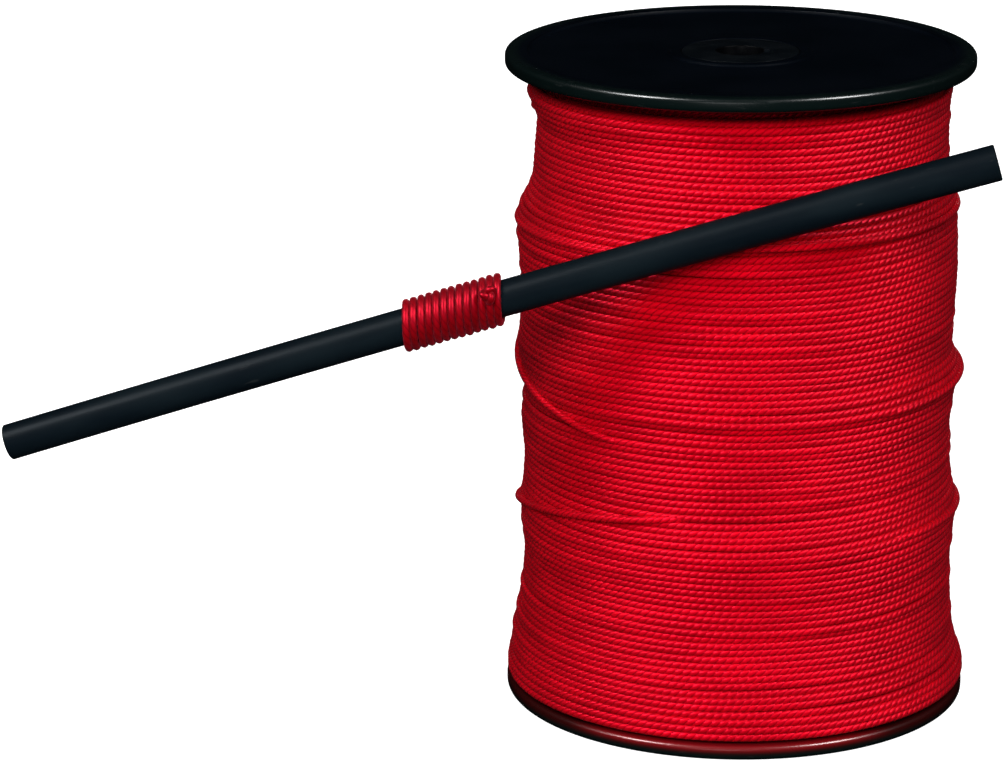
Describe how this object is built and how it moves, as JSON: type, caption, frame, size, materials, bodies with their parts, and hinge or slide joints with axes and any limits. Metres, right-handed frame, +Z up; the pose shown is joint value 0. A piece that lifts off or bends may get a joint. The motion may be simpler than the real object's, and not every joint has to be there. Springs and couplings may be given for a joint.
{
  "type": "line reel with fish rod",
  "caption": "Black two-flange reel wound with red pull line, standing upright, with a slim black fish rod whipped to the free end of the line.",
  "frame": {"origin": "centre of the lower flange's underside, on the reel's axis, at the surface that the reel stands on", "axes": "+Z up along the reel's axis; the fish rod crosses in front of the reel on the -Y side and rises towards +X"},
  "size_m": [0.1639, 0.087, 0.1135],
  "materials": {
    "flange": "black moulded plastic, fine matte texture on the faces and a polished rim",
    "barrel": "black moulded plastic",
    "arbor": "dark nylon",
    "ring": "plain steel push-on ring",
    "line": "red twisted synthetic line, lightly waxed",
    "rod_sheath": "smooth black jacket",
    "rod_core": "dark glass fibre rod, cut square"
  },
  "bodies": {
    "reel": {"upper_flange": "flange", "lower_flange": "flange", "core_barrel": "barrel", "line_winding": "line", "line_anchor_knot": "line", "line_lead": "line", "rod_whipping": "line", "whipping_knot": "line", "fish_rod_sheath": "rod_sheath", "fish_rod_core": "rod_core"},
    "arbor": {"arbor_sleeve": "arbor", "arbor_retaining_ring": "ring"}
  },
  "joints": [
    {"name": "arbor_spin", "type": "hinge", "parent": "reel", "child": "arbor", "pos_m": [0, 0, 0.05675], "axis": [0, 0, 1], "continuous": true}
  ]
}
